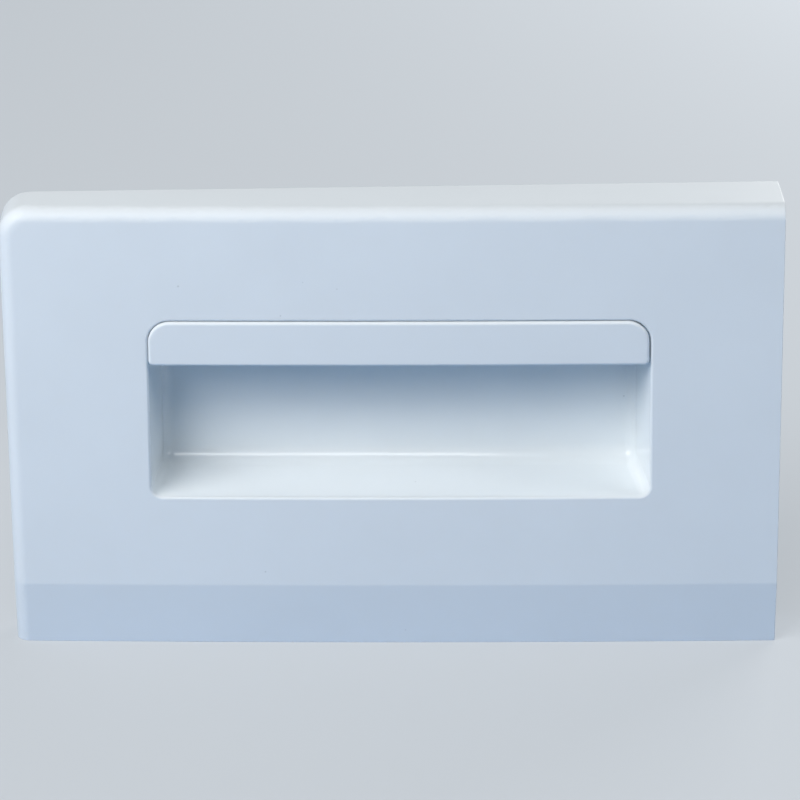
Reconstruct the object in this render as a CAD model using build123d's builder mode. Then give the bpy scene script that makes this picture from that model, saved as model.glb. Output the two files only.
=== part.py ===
from build123d import *
import os
from math import atan2, cos, radians, sin, tan

# Cover of a washing machine's detergent drawer, in millimetres.
# X runs to the right as seen from the front, Y into the machine, Z up.
# The cover stands on Z = 0, with its box centred on the Z axis.

# Outside of the panel
panel_width = 195.0
panel_height = 118.0
depth_left = 13.4  # front face to rim plane at the left edge
depth_right = 20.4  # the same at the right edge, so the front is slanted to the rim
bulge = 1.25  # how far the front bows forward of the chord between its side edges
corner_radius = 7.5  # upper left corner, seen from the front
edge_radius = 3.8  # rounding from the front into the top and into the left side
foot_height = 16.9  # the strip below this height leans back
foot_setback = 2.3  # how far its lower edge lies behind the front
crease_radius = 5.0  # blend from the front into the foot strip
wall = 2.5

# Finger pocket, measured at the front face
pocket_width = 126.7  # at the lower corners
pocket_offset = 1.85  # middle of the pocket to the right of the panel's middle
pocket_bottom = 41.0
pocket_top = 88.5
pocket_depth = 21.0
pocket_wall = 2.2
side_draft = 8.2  # how much the side walls close in towards the back, in degrees
side_flare = 0.4  # and towards the top
floor_rise = 7.0
ceiling_draft = 3.0
floor_radius = 4.6  # scoop between floor and back wall
pocket_side_radius = 2.9  # floor and back wall into the side walls
pocket_top_radius = 5.6  # upper corners of the opening
pocket_lip_radius = 0.7  # rounding from the front into the pocket

# Grip bar across the top of the pocket
bar_height = 11.8
bar_thickness = 3.0
bar_proud = 0.4
bar_gap = 0.1
bar_slack = 0.3  # further play at the bar's right end
bar_edge_radius = 0.8
bar_corner_radius = 1.3  # lower corners of the bar, seen from the front
bar_grip_slope = 0.9  # rear lower edge, where the fingers pull
flange_length = 15.0
flange_thickness = 2.0
flange_root = 2.0  # slope between the bar and its flange

# Snap lugs on the bar's flange, and their windows in the pocket's ceiling
lug_count = 4
lug_spacing = 30.0
lug_width = 9.0
lug_length = 4.5
lug_front = 6.5  # front of the pocket to the stop face of the lug
lug_rise = 1.7  # how far the lug reaches into its window
lug_land = 1.2  # flat top of the lug, before its ramp
lug_clearance = 0.25

# Inside of the panel
rib_thickness = 1.6
rib_height = 4.5
side_feature_inset = 17.5  # side edge to the middle of the hook and the boss
middle_rib_height = 65.0

# Hooks that hang the cover on the drawer's front wall
hook_drop = 18.0  # top of the panel to the top of the hook
hook_width = 10.0
hook_thickness = 3.0
hook_slot = 5.0  # rim plane to the inside of the hook's lip
hook_lip = 3.0
hook_lip_length = 9.0
hook_lead = 1.2  # lead-in at the end of the lip, across the slot
hook_lead_height = 2.4  # the same along the lip

# Bosses for self-tapping screws
boss_height = 24.0  # bottom of the panel to the screw's axis
boss_radius = 3.75
boss_hole_radius = 1.45
boss_hole_depth = 9.0

# Rim plane, with the box of the cover centred front to back
hook_reach = hook_slot + hook_lip
rim_y = (depth_right - hook_reach) / 2
overshoot = 10.0  # how far cutting forms run past what they cut
up = Vector(0, 0, 1)
core_back = rim_y + hook_reach + overshoot

# The front bows out of its chord, which is slanted to the rim
slant = atan2(depth_right - depth_left, panel_width)
chord = panel_width / cos(slant)
along = Vector(cos(slant), -sin(slant), 0)
outward = Vector(-sin(slant), -cos(slant), 0)
apex = Vector(0, rim_y - (depth_left + depth_right) / 2, 0) + outward * bulge

# Local x of the depth plane is the depth behind the front
depth_plane = Plane(origin=apex, x_dir=-outward, z_dir=along)
rim_plane = Plane(origin=(0, rim_y, 0), x_dir=(-1, 0, 0), z_dir=(0, 1, 0))  # seen from behind

front_reach = 2 * overshoot  # how far the trimming forms stand out in front
feature_x = panel_width / 2 - side_feature_inset
window_height = 3 * pocket_wall
aligned = 0.9  # least cosine at which a face or an edge counts as lying along a direction
bar_bottom = pocket_top - bar_height


def ceiling_height(depth):
    return pocket_top - depth * tan(radians(ceiling_draft))


def floor_height(depth):
    return pocket_bottom + depth * tan(radians(floor_rise))


def lug_place(index):
    return pocket_offset + (index - (lug_count - 1) / 2) * lug_spacing


def front_line(depth):
    """Bowed line of the front in plan view, moved straight back by depth, past both side edges."""
    reach = chord / 2 + overshoot
    sag = bulge * (2 * reach / chord) ** 2
    middle = apex - outward * depth
    return Bezier(
        middle - outward * sag - along * reach,
        middle + outward * sag,
        middle - outward * sag + along * reach,
    )


def panel_form(inset, back_y, corner=0.0, edge=0.0):
    """Solid block with the panel's outside shape, all its faces moved in by inset, back to back_y.

    Corner is the radius of the upper left corner before the inset, and edge that of the front's edges.
    """
    foot_slope = up + outward * (foot_setback / foot_height)
    backward = -outward * panel_height
    with BuildPart() as form:
        with BuildSketch(Plane.XY.offset(foot_height)) as plan:
            with BuildLine():
                front = front_line(inset)
                Polyline(front @ 1, front @ 1 + backward, front @ 0 + backward, front @ 0)
            make_face()
        extrude(amount=panel_height - foot_height + overshoot)
        extrude(plan.sketch, amount=(foot_height + overshoot) * foot_slope.length, dir=-foot_slope)
        if edge > 0:
            crease = form.edges().filter_by_position(Axis.Z, foot_height, foot_height).sort_by(Axis.Y)[0]
            fillet(crease, crease_radius)
        with BuildSketch(Plane.XZ.offset(-back_y)) as outline:
            Rectangle(panel_width, panel_height, align=(Align.CENTER, Align.MIN))
            if corner > 0:
                fillet(outline.vertices().group_by(Axis.X)[0].sort_by(Axis.Y)[-1], corner)
            if inset > 0:
                offset(amount=-inset, kind=Kind.INTERSECTION)
        extrude(amount=back_y - rim_y + depth_right + front_reach, mode=Mode.INTERSECT)
        if edge > 0:
            front_faces = form.faces().filter_by(lambda face: face.normal_at().dot(outward) > aligned)
            rim_edges = front_faces.edges().filter_by(
                lambda side: side.center().X < -panel_width / 4 or side.center().Z > panel_height - corner
            )
            fillet(rim_edges, edge)
    return form.part


def pocket_form(grow, slack=0.0):
    """Solid block that fills the finger pocket, its faces moved out by grow, its right end in by slack."""
    with BuildPart() as form:
        with BuildSketch(depth_plane) as section:
            with BuildLine():
                Polyline(
                    (-front_reach / 2, floor_height(-front_reach / 2)),
                    (pocket_depth, floor_height(pocket_depth)),
                    (pocket_depth, ceiling_height(pocket_depth)),
                    (-front_reach / 2, ceiling_height(-front_reach / 2)),
                    close=True,
                )
            make_face()
            fillet(section.vertices().group_by(Axis.X)[-1].sort_by(Axis.Y)[0], floor_radius)
            offset(amount=grow, kind=Kind.INTERSECTION)
        extrude(amount=panel_width, both=True)
        for side, inset in ((-1, 0.0), (1, slack)):
            inward = along * -side
            corner = apex + up * pocket_bottom + along * (pocket_offset + side * pocket_width / 2)
            depthwise = Vector(0, 1, 0) + inward * tan(radians(side_draft))
            upward = up + inward * tan(radians(side_flare))
            outside = depthwise.cross(upward).normalized() * side
            split(bisect_by=Plane(corner + outside * (grow - inset), z_dir=outside), keep=Keep.BOTTOM)
        ceiling_edges = form.faces().sort_by(Axis.Z)[-1].edges().sort_by(Axis.X)
        fillet([ceiling_edges[0], ceiling_edges[-1]], pocket_top_radius + grow)
        back = form.faces().sort_by(Axis(apex, -outward))[-1]
        floor = form.faces().sort_by(Axis.Z)[0]
        scoop = form.faces().filter_by(GeomType.CYLINDER).sort_by(Axis.Z)[0]
        back_top = back.edges().sort_by(Axis.Z)[-1]
        round_edges = (back.edges() + floor.edges() + scoop.edges()).filter_by(
            lambda edge: abs((edge @ 1 - edge @ 0).normalized().dot(along)) < aligned
            and edge.center().Y > apex.Y
        )
        fillet(round_edges + [back_top], pocket_side_radius + grow)
    return form.part


pocket_space = pocket_form(0)
bar_space = pocket_form(-bar_gap, bar_slack)
pocket_shell = pocket_form(pocket_wall)
outer_form = panel_form(0, rim_y, corner_radius, edge_radius)
inner_form = panel_form(wall, core_back, corner_radius)
core_form = panel_form(wall / 2, core_back, corner_radius)
rib_form = panel_form(wall + rib_height, core_back)

# Ribs on the inside of the skin and up the rim walls
with BuildPart() as ribs:
    with BuildSketch(Plane.XZ.offset(-rim_y)):
        middle_ribs = [(lug_place(index + 0.5), panel_height / 2) for index in range(lug_count - 1)]
        with Locations((-feature_x, panel_height / 2), *middle_ribs, (feature_x, panel_height / 2)):
            Rectangle(rib_thickness, panel_height)
        with Locations((0, boss_height), (0, middle_rib_height)):
            Rectangle(panel_width, rib_thickness)
    extrude(amount=depth_right + front_reach)
    add(core_form, mode=Mode.INTERSECT)
    add(rib_form, mode=Mode.SUBTRACT)

# Hooks and screw bosses, standing on the inside of the skin
with BuildPart() as fixings:
    hook_top = panel_height - hook_drop
    for side in (-feature_x, feature_x):
        with BuildSketch(Plane.YZ.offset(side - hook_width / 2)):
            with BuildLine():
                Polyline(
                    (rim_y - depth_right - overshoot, hook_top),
                    (rim_y + hook_reach, hook_top),
                    (rim_y + hook_reach, hook_top - hook_thickness - hook_lip_length),
                    (rim_y + hook_slot + hook_lead, hook_top - hook_thickness - hook_lip_length),
                    (rim_y + hook_slot, hook_top - hook_thickness - hook_lip_length + hook_lead_height),
                    (rim_y + hook_slot, hook_top - hook_thickness),
                    (rim_y - depth_right - overshoot, hook_top - hook_thickness),
                    close=True,
                )
            make_face()
        extrude(amount=hook_width)
    with BuildSketch(Plane.XZ.offset(-rim_y)):
        with Locations((-feature_x, boss_height), (feature_x, boss_height)):
            Circle(boss_radius)
    extrude(amount=depth_right + front_reach)
    add(core_form, mode=Mode.INTERSECT)

with BuildPart() as pocket_walls:
    add(pocket_shell)
    add(core_form, mode=Mode.INTERSECT)

# Moulded cover
with BuildPart() as front_panel:
    add(outer_form)
    add(inner_form, mode=Mode.SUBTRACT)
    add([ribs.part, fixings.part, pocket_walls.part])
    add(pocket_space, mode=Mode.SUBTRACT)
    with Locations(rim_plane):
        with Locations((-feature_x, boss_height), (feature_x, boss_height)):
            Hole(boss_hole_radius, boss_hole_depth)
    for index in range(lug_count):
        window_side = lug_place(index) - lug_width / 2 - lug_clearance
        with BuildSketch(depth_plane.offset(window_side)):
            with Locations((lug_front + lug_length / 2, ceiling_height(lug_front) + pocket_wall / 2)):
                Rectangle(lug_length + 2 * lug_clearance, window_height)
        extrude(amount=lug_width + 2 * lug_clearance, mode=Mode.SUBTRACT)
    front_face = front_panel.faces().filter_by(lambda face: face.inner_wires()).sort_by(SortBy.AREA)[-1]
    fillet(front_face.inner_wires()[0].edges(), pocket_lip_radius)

# Grip bar with its flange and snap lugs
with BuildPart() as grip_bar:
    flange_drop = bar_gap + flange_thickness
    with BuildSketch(Plane.XY.offset(bar_bottom)):
        with BuildLine():
            bar_face = front_line(-bar_proud)
            bar_rear = front_line(bar_thickness)
            Line(bar_face @ 0, bar_rear @ 0)
            Line(bar_face @ 1, bar_rear @ 1)
        make_face()
    extrude(amount=bar_height + overshoot)
    long_edges = grip_bar.faces().sort_by(Axis.Z)[0].edges().sort_by(SortBy.LENGTH)[-2:]
    chamfer(long_edges.sort_by(Axis.Y)[-1], bar_grip_slope)
    root_depth = bar_thickness + flange_root
    root_height = ceiling_height(root_depth) - flange_drop
    with BuildSketch(depth_plane.offset(-panel_width)):
        with BuildLine():
            Polyline(
                (bar_thickness / 2, root_height - flange_root - bar_thickness / 2),
                (bar_thickness / 2, pocket_top),
                (flange_length, pocket_top),
                (flange_length, ceiling_height(flange_length) - flange_drop),
                (root_depth, root_height),
                close=True,
            )
        make_face()
    extrude(amount=2 * panel_width)
    add(bar_space, mode=Mode.INTERSECT)
    lower_edges = grip_bar.faces().sort_by(Axis.Z)[0].edges().sort_by(Axis.X)
    fillet([lower_edges[0], lower_edges[-1]], bar_corner_radius)
    bar_front = grip_bar.faces().filter_by(lambda face: face.normal_at().dot(outward) > aligned)
    fillet(bar_front.sort_by(SortBy.AREA)[-1].edges(), bar_edge_radius)
    for index in range(lug_count):
        with BuildSketch(depth_plane.offset(lug_place(index) - lug_width / 2)):
            with BuildLine():
                Polyline(
                    (lug_front, ceiling_height(lug_front) - flange_drop / 2),
                    (lug_front, ceiling_height(lug_front) + lug_rise),
                    (lug_front + lug_land, ceiling_height(lug_front) + lug_rise),
                    (lug_front + lug_length, ceiling_height(lug_front + lug_length) - bar_gap),
                    (lug_front + lug_length, ceiling_height(lug_front + lug_length) - flange_drop / 2),
                    close=True,
                )
            make_face()
        extrude(amount=lug_width)

front_panel.part.label = "front_panel"
grip_bar.part.label = "grip_bar"
os.makedirs("parts", exist_ok=True)
export_step(front_panel.part, "parts/front_panel.step")
export_step(grip_bar.part, "parts/grip_bar.step")
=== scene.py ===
from math import cos, radians, sin

import bpy
from mathutils import Matrix, Vector


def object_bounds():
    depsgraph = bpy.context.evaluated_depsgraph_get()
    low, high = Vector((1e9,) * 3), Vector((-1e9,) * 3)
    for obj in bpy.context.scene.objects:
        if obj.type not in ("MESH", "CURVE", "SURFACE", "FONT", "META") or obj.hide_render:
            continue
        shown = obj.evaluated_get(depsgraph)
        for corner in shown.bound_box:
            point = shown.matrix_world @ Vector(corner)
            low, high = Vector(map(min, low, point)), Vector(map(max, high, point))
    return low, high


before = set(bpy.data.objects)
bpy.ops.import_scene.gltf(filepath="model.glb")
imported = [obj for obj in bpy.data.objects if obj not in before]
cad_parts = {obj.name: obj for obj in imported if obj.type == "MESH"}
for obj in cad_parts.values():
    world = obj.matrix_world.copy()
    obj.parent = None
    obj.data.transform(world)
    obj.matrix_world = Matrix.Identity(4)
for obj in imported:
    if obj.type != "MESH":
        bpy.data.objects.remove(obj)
cad_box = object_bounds()

# Camera, fitted to the outline of the cover in the photograph, with angles in degrees
image_size = 800  # pixels
focal_pixels = 4164.0
camera_pitch = 21.0  # below the horizon
camera_yaw = 0.64
camera_roll = -0.59
camera_target = Vector((0.0019, -0.01195, 0.0676))
camera_distance = 1.045

# Finger pocket, in metres in the cover's frame
slant = radians(2.056)  # front face to the X axis, seen from above
front_apex = Vector((0.0, -0.01195, 0.0))
pocket_left = -0.0615  # along the slanted front
pocket_right = 0.0652
pocket_bottom = 0.0410
pocket_top = 0.0885
pocket_depth = 0.0210
pocket_skin = 0.0010  # the polish and the painted lighter colour reach this far past the pocket's faces, inside its walls
pocket_rim = 0.0012  # polish and the painted lighter colour start this far behind the front's foremost line
pocket_blend = 0.0002  # half the width over which the polish and the painted lighter colour set in
side_draft = radians(8.2)
floor_rise = radians(7.0)
ceiling_draft = radians(3.0)

# Plastic: colours are linear, texture scales are per metre
white = (0.72, 0.75, 0.765)
# The pocket's white is a lighter copy of the same plastic: painted light, for the brighter pocket
pocket_painted_light_white = (0.79, 0.83, 0.845)
mottle_scale = 45.0
mottle_detail = 4.0
colour_mottle = 0.012  # share by which the colour wanders
speck_scale = 95.0  # fine specks of dust
speck_radius = 0.00016
speck_shade = 0.80
satin_roughness = 0.50
roughness_scale = 160.0
roughness_detail = 3.0
roughness_mottle = 0.03
polished_roughness = 0.06
specular_level = 0.4
grain_scale = 3500.0
grain_detail = 2.0
grain_strength = 0.05
grain_height = 0.0001
noise_low = 0.3  # most of a noise field lies between these two
noise_high = 0.7
soft_edge = 0.00025  # rounding of edges that the CAD left sharp
soft_edge_samples = 6

# Surroundings: pale where they are seen, bluer and weaker in the light that they throw on the cover
pale = (0.73, 0.775, 0.82)
floor_size = 12.0
floor_glow = 0.50  # share of its colour that the floor shows without light
floor_matt = 0.30  # share of its colour that it shows by the lamps' light, with the cover's shadow
floor_roughness = 0.8
floor_specular = 0.1
floor_bounce = (0.175, 0.33, 0.56)
world_fill = (0.06, 0.09, 0.12)

# Smooth shading over the facets of the CAD faces
weld_distance = 1e-6
sharp_angle = radians(25)


class Nodes:
    """Adds nodes and links to a node tree. An input is a value or the output of another node."""

    def __init__(self, tree):
        self.tree = tree

    def link(self, output, socket):
        self.tree.links.new(output, socket)

    def add(self, kind, inputs=None, **settings):
        """New node with these inputs and settings."""
        node = self.tree.nodes.new(kind)
        for name, value in settings.items():
            setattr(node, name, value)
        for key, value in (inputs or {}).items():
            if isinstance(value, bpy.types.NodeSocket):
                self.link(value, node.inputs[key])
            else:
                node.inputs[key].default_value = value
        return node

    def math(self, operation, first, second):
        return self.add("ShaderNodeMath", {0: first, 1: second}, operation=operation).outputs[0]

    def remap(self, value, from_low, from_high, to_low, to_high):
        """A value moved from one span to another, and held within that."""
        spans = {1: from_low, 2: from_high, 3: to_low, 4: to_high}
        return self.add("ShaderNodeMapRange", {0: value, **spans}).outputs[0]

    # A mix node takes numbers at its inputs 2 and 3, and colours at 6 and 7
    def mix_numbers(self, share, first, second):
        return self.add("ShaderNodeMix", {0: share, 2: first, 3: second}).outputs[0]

    def mix_colours(self, share, first, second):
        return self.add("ShaderNodeMix", {0: share, 6: (*first, 1), 7: (*second, 1)},
                        data_type="RGBA").outputs[2]


def new_material(name):
    """Material with its shader and with the nodes that can be added to it."""
    material = bpy.data.materials.new(name)
    material.use_nodes = True
    tree = material.node_tree
    return material, tree.nodes["Principled BSDF"], Nodes(tree)


def pocket_planes():
    """Planes round the finger pocket as (inward normal, point on the plane)."""
    along = Vector((cos(slant), -sin(slant), 0))
    inward = Vector((sin(slant), cos(slant), 0))
    up = Vector((0, 0, 1))
    left = front_apex + along * pocket_left
    right = front_apex + along * pocket_right
    return [
        (inward, front_apex + inward * pocket_rim),
        (-inward, front_apex + inward * (pocket_depth + pocket_skin)),
        (Vector((cos(side_draft), -sin(side_draft), 0)), left - along * pocket_skin),
        (Vector((-cos(side_draft), -sin(side_draft), 0)), right + along * pocket_skin),
        (up * cos(floor_rise) - inward * sin(floor_rise), front_apex + up * (pocket_bottom - pocket_skin)),
        (-up * cos(ceiling_draft) - inward * sin(ceiling_draft),
         front_apex + up * (pocket_top + pocket_skin)),
    ]


def pocket_mask(nodes, position):
    """1 on the finger pocket's faces, which get polish and a lighter colour that is painted light, and 0
    elsewhere.
    """
    depths = []
    for normal, point in pocket_planes():
        dot = nodes.add("ShaderNodeVectorMath", {0: position, 1: normal}, operation="DOT_PRODUCT")
        depths.append(nodes.math("SUBTRACT", dot.outputs["Value"], normal.dot(point)))
    inside = depths[0]
    for depth in depths[1:]:
        inside = nodes.math("MINIMUM", inside, depth)
    return nodes.remap(inside, -pocket_blend, pocket_blend, 0.0, 1.0)


def moulded_plastic(name, polish_and_painted_light):
    """Satin white plastic with a fine grain; if asked for, the finger pocket gets a polish and a lighter
    white that is painted light.
    """
    material, shader, nodes = new_material(name)
    position = nodes.add("ShaderNodeTexCoord").outputs["Object"]

    def noise(scale, detail, low, high):
        """Noise that wanders between low and high."""
        field = nodes.add("ShaderNodeTexNoise", {"Vector": position, "Scale": scale, "Detail": detail})
        return nodes.remap(field.outputs[0], noise_low, noise_high, low, high)

    colour = white
    roughness = noise(roughness_scale, roughness_detail, satin_roughness - roughness_mottle,
                      satin_roughness + roughness_mottle)
    grain = noise(grain_scale, grain_detail, 0.0, 1.0)
    if polish_and_painted_light:
        mask = pocket_mask(nodes, position)
        # Painted light: the pocket gets a lighter copy of the white
        colour = nodes.mix_colours(mask, white, pocket_painted_light_white)
        roughness = nodes.mix_numbers(mask, roughness, polished_roughness)
        grain = nodes.mix_numbers(mask, grain, 0.0)

    cloud = noise(mottle_scale, mottle_detail, 1 - colour_mottle, 1 + colour_mottle)
    dots = nodes.add("ShaderNodeTexVoronoi", {"Vector": position, "Scale": speck_scale})
    speck_edge = speck_radius * speck_scale
    speck = nodes.remap(dots.outputs["Distance"], speck_edge, 2 * speck_edge, speck_shade, 1.0)
    shade = nodes.math("MULTIPLY", cloud, speck)
    shaded = nodes.add("ShaderNodeVectorMath", {0: colour, "Scale": shade}, operation="SCALE")
    bevel = nodes.add("ShaderNodeBevel", {"Radius": soft_edge}, samples=soft_edge_samples)
    bump = nodes.add("ShaderNodeBump", {"Strength": grain_strength, "Distance": grain_height,
                                        "Height": grain, "Normal": bevel.outputs[0]})
    nodes.link(shaded.outputs[0], shader.inputs["Base Color"])
    nodes.link(roughness, shader.inputs["Roughness"])
    nodes.link(bump.outputs[0], shader.inputs["Normal"])
    shader.inputs["Specular IOR Level"].default_value = specular_level
    return material


def shows_surroundings(nodes):
    """1 for rays that show the surroundings: from the camera, mirrored or through glass."""
    rays = nodes.add("ShaderNodeLightPath").outputs
    seen = nodes.math("MAXIMUM", rays["Is Camera Ray"], rays["Is Glossy Ray"])
    return nodes.math("MAXIMUM", seen, rays["Is Transmission Ray"])


def floor_material():
    """Pale floor that glows a little where it is seen, and keeps the cover's shadow."""
    material, shader, nodes = new_material("floor_pale")
    seen = shows_surroundings(nodes)
    lit = tuple(channel * floor_matt for channel in pale)
    nodes.link(nodes.mix_colours(seen, floor_bounce, lit), shader.inputs["Base Color"])
    nodes.link(nodes.math("MULTIPLY", seen, floor_glow), shader.inputs["Emission Strength"])
    shader.inputs["Emission Color"].default_value = (*pale, 1)
    shader.inputs["Roughness"].default_value = floor_roughness
    shader.inputs["Specular IOR Level"].default_value = floor_specular
    return material


def facet_joiner():
    """Geometry nodes that weld the facets of the CAD faces and shade them smooth between sharp edges."""
    tree = bpy.data.node_groups.new("join_facets", "GeometryNodeTree")
    tree.interface.new_socket("Geometry", in_out="INPUT", socket_type="NodeSocketGeometry")
    tree.interface.new_socket("Geometry", in_out="OUTPUT", socket_type="NodeSocketGeometry")
    nodes = Nodes(tree)
    source = nodes.add("NodeGroupInput").outputs[0]
    weld = nodes.add("GeometryNodeMergeByDistance", {"Geometry": source, "Distance": weld_distance})
    smooth = nodes.add("GeometryNodeSetShadeSmooth", {"Geometry": weld.outputs[0], "Shade Smooth": True})
    angle = nodes.add("GeometryNodeInputMeshEdgeAngle").outputs["Unsigned Angle"]
    sharp = nodes.add("FunctionNodeCompare", {0: angle, 1: sharp_angle}, operation="GREATER_THAN")
    split = nodes.add("GeometryNodeSetShadeSmooth", {"Geometry": smooth.outputs[0],
                                                     "Selection": sharp.outputs[0],
                                                     "Shade Smooth": False}, domain="EDGE")
    nodes.link(split.outputs[0], nodes.add("NodeGroupOutput").inputs[0])
    return tree


def dress(node, material, joiner):
    """Gives a piece of the frame its material and its smooth shading."""
    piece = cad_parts[node]
    piece.data.materials.clear()
    piece.data.materials.append(material)
    piece.modifiers.new("join_facets", "NODES").node_group = joiner
    piece.modifiers.new("even_normals", "WEIGHTED_NORMAL").keep_sharp = True


def make_floor():
    bpy.ops.mesh.primitive_plane_add(size=floor_size)
    floor = bpy.context.object
    floor.name = "floor"
    floor.data.materials.append(floor_material())


def make_camera():
    """Camera that looks at its target from the fitted distance and angles."""
    pitch, yaw, roll = radians(camera_pitch), radians(camera_yaw), radians(camera_roll)
    forward = Vector((sin(yaw) * cos(pitch), cos(yaw) * cos(pitch), -sin(pitch)))
    level = Vector((cos(yaw), -sin(yaw), 0))
    upright = level.cross(forward)
    right = level * cos(roll) + upright * sin(roll)
    up = upright * cos(roll) - level * sin(roll)
    camera = bpy.data.objects.new("camera", bpy.data.cameras.new("camera"))
    camera.data.lens = focal_pixels / image_size * camera.data.sensor_width
    camera.matrix_world = Matrix.Translation(camera_target - forward * camera_distance) @ Matrix(
        (right, up, -forward)).transposed().to_4x4()
    bpy.context.scene.collection.objects.link(camera)
    bpy.context.scene.camera = camera


def area_light(name, azimuth, elevation, distance, width, height, power):
    """Soft light that faces the cover, from an azimuth to the right of the front and an elevation."""
    lamp = bpy.data.lights.new(name, "AREA")
    lamp.shape = "RECTANGLE"
    lamp.size = width
    lamp.size_y = height
    lamp.energy = power
    light = bpy.data.objects.new(name, lamp)
    az, el = radians(azimuth), radians(elevation)
    away = Vector((sin(az) * cos(el), -cos(az) * cos(el), sin(el)))
    middle = Vector((0, 0, cad_box[1][2] / 2))
    light.location = middle + away * distance
    light.rotation_euler = away.to_track_quat("Z", "Y").to_euler()
    bpy.context.scene.collection.objects.link(light)


def make_world():
    world = bpy.data.worlds.new("world")
    world.use_nodes = True
    nodes = Nodes(world.node_tree)
    colour = nodes.mix_colours(shows_surroundings(nodes), world_fill, pale)
    nodes.link(colour, world.node_tree.nodes["Background"].inputs["Color"])
    bpy.context.scene.world = world


joiner = facet_joiner()
dress("front_panel", moulded_plastic("panel_white", polish_and_painted_light=True), joiner)
dress("grip_bar", moulded_plastic("bar_white", polish_and_painted_light=False), joiner)
make_floor()
make_camera()
make_world()
area_light("key", azimuth=-48, elevation=36, distance=1.1, width=0.9, height=0.56, power=11.3)
area_light("front", azimuth=-10, elevation=52, distance=1.1, width=0.26, height=0.5, power=2.0)
area_light("right", azimuth=76, elevation=23, distance=1.0, width=0.25, height=0.3, power=2.4)
area_light("back", azimuth=148, elevation=12, distance=1.1, width=0.7, height=0.3, power=8.5)
bpy.context.scene.view_settings.view_transform = "Standard"
